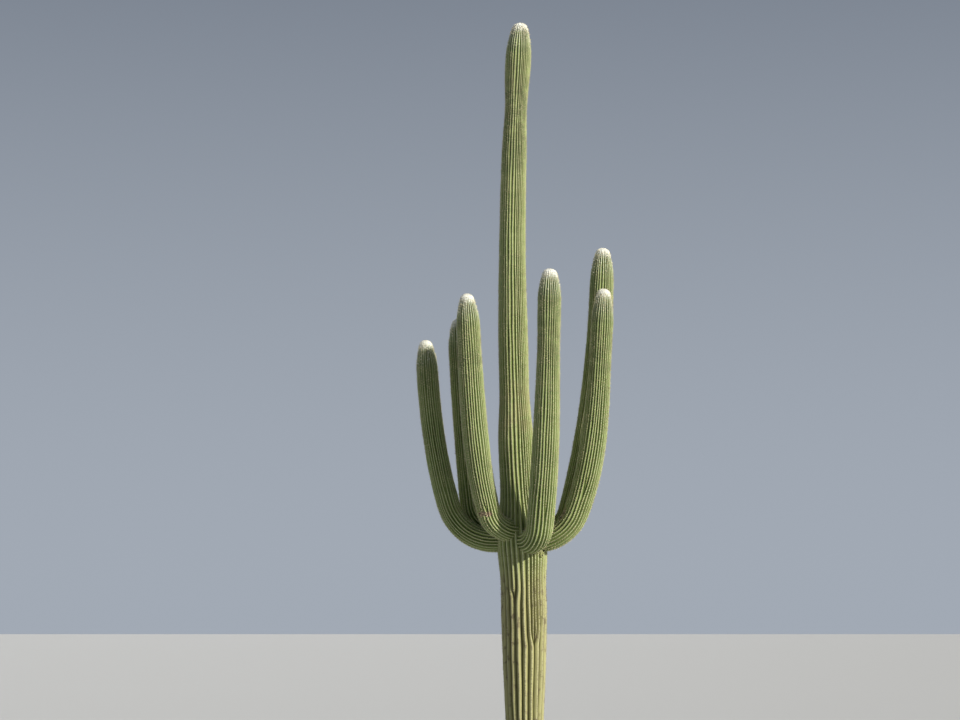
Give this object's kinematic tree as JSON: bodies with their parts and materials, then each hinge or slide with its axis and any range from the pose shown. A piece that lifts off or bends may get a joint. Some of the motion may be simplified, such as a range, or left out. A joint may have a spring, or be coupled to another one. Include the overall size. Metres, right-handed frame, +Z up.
{
  "type": "saguaro cactus",
  "caption": "Tall ribbed saguaro cactus: a columnar trunk, swollen low down and domed at the top, with a whorl of arms that run outward and bend up beside it",
  "frame": {"origin": "middle of the flat cut under the trunk, at level ground", "axes": "+Z up the plant; in the best-known view, seen from -Y, +X is to the right and the front arm comes towards the viewer"},
  "size_m": [2.7073, 1.8187, 10.25],
  "materials": {
    "trunk_skin": "matt waxy skin, cream and corky on the crests low down, green higher up",
    "arm_skin": "matt waxy green skin with pale straw crests",
    "spines": "dull straw and grey spines",
    "wool": "cream felt at the growing tips"
  },
  "bodies": {
    "root": {"trunk": "trunk_skin", "far_left_arm_elbow": "arm_skin", "far_left_arm_shaft": "arm_skin", "left_arm_elbow": "arm_skin", "left_arm_shaft": "arm_skin", "left_rear_arm_elbow": "arm_skin", "left_rear_arm_shaft": "arm_skin", "front_arm_elbow": "arm_skin", "front_arm_shaft": "arm_skin", "right_arm_elbow": "arm_skin", "right_arm_shaft": "arm_skin", "right_rear_arm_elbow": "arm_skin", "right_rear_arm_shaft": "arm_skin"}
  },
  "joints": []
}
